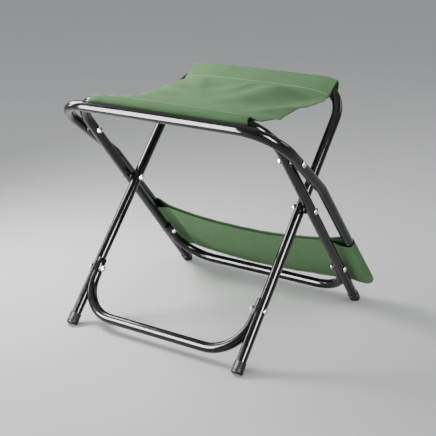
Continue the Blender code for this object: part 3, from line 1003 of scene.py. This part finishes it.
def backrest_cover(skin):
    """The cloth pocket over both arms, with its mouth open and its lower end closed."""
    section = cover_section()
    points = []
    flat = []
    for row in range(COVER_ROWS + 1):
        found = [cover_point(*spot, row / COVER_ROWS) for spot in section]
        loop = [point for point, _ in found]
        around = lengths_along(loop)
        points += loop
        flat += [(distance, a, 0) for distance, (_, a) in zip(around, found)]
    faces = grid_faces(COVER_ROWS + 1, len(section), closed=True)
    made = piece("backrest_pocket", points, faces, skin, 60, flat)
    print("cover flat", around[-1], COVER_END - MOUTH)
    thicken(made, COVER_THICK)
    dress(made, "backrest", "cover_cloth", "backrest_cover")
    return made


def cover_wave(x, a, side):
    """Soft waves of the cover: long ones along the arms and a few small ones."""
    long_wave = 0.0011 * noise.noise(Vector((x * 16, a * 7, 2.0)))
    small = 0.0005 * noise.noise(Vector((x * 60, a * 45, 4.0 + side)))
    return long_wave + small


# ---------------------------------------------------------------- stitches

STITCH = 0.0030
STITCH_GAP = 0.0012
STITCH_R = 0.00042
STITCH_SIDES = 6
STITCH_STEPS = 5
SEAM_TARGETS = 241
COVER_TARGETS = 90


def stitches(name, line, normals, skin, body):
    """Short arched stitches along a line of points that lies on the cloth."""
    lengths = np.array(lengths_along(line))
    table = np.array([tuple(point) for point in line])
    normal_table = np.array([tuple(normal) for normal in normals])

    def at(distance):
        place = [np.interp(distance, lengths, table[:, axis]) for axis in range(3)]
        normal = [np.interp(distance, lengths, normal_table[:, axis]) for axis in range(3)]
        return Vector(place), Vector(normal).normalized()

    points = []
    faces = []
    for index in range(int(lengths[-1] / (STITCH + STITCH_GAP))):
        start = index * (STITCH + STITCH_GAP) + STITCH_GAP / 2
        first = len(points)
        for step in range(STITCH_STEPS + 1):
            share = step / STITCH_STEPS
            place, normal = at(start + STITCH * share)
            nearby, _ = at(start + STITCH * share + 0.0004)
            tangent = (nearby - place).normalized()
            arch = STITCH_R * (1.5 * math.sin(share * math.pi) - 0.5)
            thick = STITCH_R * (0.55 + 0.45 * math.sin(share * math.pi))
            side = tangent.cross(normal).normalized()
            for turn in range(STITCH_SIDES):
                angle = math.tau * turn / STITCH_SIDES
                offset = side * math.cos(angle) + normal * math.sin(angle)
                points.append(place + normal * arch + offset * thick)
        for face in grid_faces(STITCH_STEPS + 1, STITCH_SIDES, closed=True):
            faces.append(tuple(first + corner for corner in face))
        last = len(points) - STITCH_SIDES
        faces.append(tuple(range(first, first + STITCH_SIDES))[::-1])
        faces.append(tuple(range(last, last + STITCH_SIDES)))
    made = piece(name, points, faces, skin, 60)
    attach(made, body)


def surface_line(cloth, targets, direction):
    """Where rays from `targets` along `direction` first meet the cloth, with its normals."""
    line = []
    normals = []
    evaluated = cloth.evaluated_get(bpy.context.evaluated_depsgraph_get())
    for target in targets:
        hit, place, normal, _ = evaluated.ray_cast(target - direction * 0.03, direction)
        if hit:
            line.append(place)
            normals.append(normal if normal.dot(direction) < 0 else -normal)
    return line, normals


def seat_stitches(cloth, skin):
    seams = {"front": [], "rear": []}
    for step in range(SEAM_TARGETS):
        u = (2 * step / (SEAM_TARGETS - 1) - 1) * 0.985
        front, rear = seam_points(u)
        seams["front"].append(Vector((front_place(u), front.x, front.y)))
        seams["rear"].append(Vector((u * REAR_HALF, rear.x, rear.y)))
    for seam, body in (("front", "outer_frame"), ("rear", "inner_frame")):
        line, normals = surface_line(cloth, seams[seam], Vector((0, 0, -1)))
        stitches(seam + "_seam_stitches", line, normals, skin, body)


def cover_stitches(cloth, skin):
    """Two lines beside each arm and one along the closed end, on both layers."""
    half = BACKREST.half
    rows = []
    for side in (-1, 1):
        for inset in (SEWN, SEWN + 0.0045):
            x = side * (half - inset)
            span = np.linspace(MOUTH + 0.008, COVER_END - 0.003, COVER_TARGETS)
            rows.append([ARMS @ Vector((x, a, 0)) for a in span])
    span = np.linspace(-half + 0.006, half - 0.006, 300)
    rows.append([ARMS @ Vector((x, COVER_END - 0.0035, 0)) for x in span])
    for index, targets in enumerate(rows):
        for side, tag in ((1, "front"), (-1, "back")):
            direction = (ARMS.to_3x3() @ Vector((0, 0, side))).normalized()
            line, normals = surface_line(cloth, targets, direction)
            stitches(f"cover_stitches_{index}_{tag}", line, normals, skin, "backrest")


# ---------------------------------------------------------------- stage


CAMERA_FROM_PIVOT = Vector((0.8175, -1.2640, 0.4419))
YAW = math.radians(32.67)
PITCH = math.radians(-17.90)
ROLL = math.radians(0.77)
SENSOR = 36.0
FOCAL_IN_WIDTHS = 976.16 / 436


def camera():
    """The camera, fitted to the view of the photograph."""
    data = bpy.data.cameras.new("camera")
    data.sensor_width = SENSOR
    data.lens = SENSOR * FOCAL_IN_WIDTHS
    data.clip_start = 0.05
    made = bpy.data.objects.new("camera", data)
    made.location = PIVOT + CAMERA_FROM_PIVOT
    forward = Vector((-math.sin(YAW) * math.cos(PITCH), math.cos(YAW) * math.cos(PITCH), math.sin(PITCH)))
    right = forward.cross(Vector((0, 0, 1))).normalized()
    up = right.cross(forward)
    rolled_right = right * math.cos(ROLL) + up * math.sin(ROLL)
    rolled_up = up * math.cos(ROLL) - right * math.sin(ROLL)
    turn = Matrix((rolled_right, rolled_up, -forward)).transposed()
    made.rotation_mode = "QUATERNION"
    made.rotation_quaternion = turn.to_quaternion()
    bpy.context.scene.collection.objects.link(made)
    bpy.context.scene.camera = made


def floor():
    """A pale floor, wide enough for its edge not to show."""
    size = 40.0
    corners = [(-size, -size, 0), (size, -size, 0), (size, size, 0), (-size, size, 0)]
    made, shader, nodes, links = shader_material("pale_floor")
    soft = noise_node(nodes, links, place_of(nodes), 3, 2, 0.5)
    colour = mixed(nodes, links, soft, (0.87, 0.87, 0.865), (0.91, 0.91, 0.905))
    links.new(colour, shader.inputs["Base Color"])
    shader.inputs["Roughness"].default_value = 0.8
    shader.inputs["Specular IOR Level"].default_value = 0.0
    ground = piece("floor", corners, [(0, 1, 2, 3)], made)
    ground.location.z = -0.0004


def area_light(name, place, target, size, power, lights=True, reflected=True):
    """A soft light. One that only is reflected draws bands on gloss and lights nothing else."""
    data = bpy.data.lights.new(name, "AREA")
    data.shape = "RECTANGLE"
    data.size, data.size_y = size
    data.energy = power
    made = bpy.data.objects.new(name, data)
    made.location = place
    made.rotation_euler = (Vector(target) - Vector(place)).to_track_quat("-Z", "Y").to_euler()
    made.visible_camera = False
    made.visible_diffuse = lights
    made.visible_glossy = reflected
    bpy.context.scene.collection.objects.link(made)


def studio():
    """Soft daylight, a key light at the left, and panels that draw bands on the gloss."""
    world = bpy.data.worlds.new("studio")
    world.use_nodes = True
    back = world.node_tree.nodes["Background"]
    back.inputs["Color"].default_value = (0.95, 0.97, 1.0, 1)
    back.inputs["Strength"].default_value = 0.36
    bpy.context.scene.world = world
    seat = (0, 0, 0.35)
    middle = (0, 0, 0.2)
    panel_way = (-0.035, -0.28, 1.19)
    area_light("key", (-0.6, -0.1, 0.64), seat, (0.3, 0.3), 8.5)
    area_light("top", (-0.5, -0.2, 2.2), middle, (2.2, 2.2), 6)
    area_light("front_fill", (-0.1, -1.7, 0.5), (0, 0, 0.12), (1.6, 0.6), 13, reflected=False)
    area_light("rim", (1.2, 1.3, 1.1), middle, (0.9, 0.5), 5)
    area_light("front_left_panel", (-0.505, -0.98, 0.65), panel_way, (0.6, 1.4), 140, lights=False)
    area_light("right_panel", (1.36, -0.5, 0.92), (0.16, -0.08, 0.12), (0.4, 1.0), 60, lights=False)
    area_light("left_strip", (-1.3, -0.35, 0.62), (0, -0.1, 0.2), (0.25, 0.8), 10, lights=False)


# ---------------------------------------------------------------- the stool

paint = gloss_paint()
plastic = cap_plastic()
zinc = bright_zinc()
seat_skin = sage_cloth("sage_seat", (0.135, 0.25, 0.118), (0.118, 0.225, 0.104))
cover_skin = sage_cloth("sage_cover", (0.135, 0.245, 0.12), (0.12, 0.22, 0.108))
thread = sewing_thread()

crossing_tube("inner_frame_tube", "inner_frame", INNER, paint)
crossing_tube("outer_frame_tube", "outer_frame", OUTER, paint)
backrest_tube(paint)
stretcher_tube("front_stretcher", "inner_frame", INNER, paint)
stretcher_tube("rear_stretcher", "outer_frame", OUTER, paint)
for body, nodes in frame["record"]["behaviour"]["bodies"].items():
    for node in nodes:
        if "_bolt_" in node:
            bolt(node, body, zinc)
        elif "_nut_" in node:
            cap_nut(node, body, zinc)
        elif "_spacer_" in node:
            spacer(node, body, plastic)
        elif "_foot_" in node:
            where = INNER if body == "inner_frame" else OUTER
            foot_cap(node, where, -1 if node.endswith("left") else 1, body, plastic)
for side in ("left", "right"):
    plug = frame["nodes"][f"arm_plug_{side}"]
    plug.data.materials.clear()
    plug.data.materials.append(plastic)

seat = seat_cloth(seat_skin)
cover = backrest_cover(cover_skin)
bpy.context.view_layer.update()
seat_stitches(seat, thread)
cover_stitches(cover, thread)

floor()
studio()
camera()
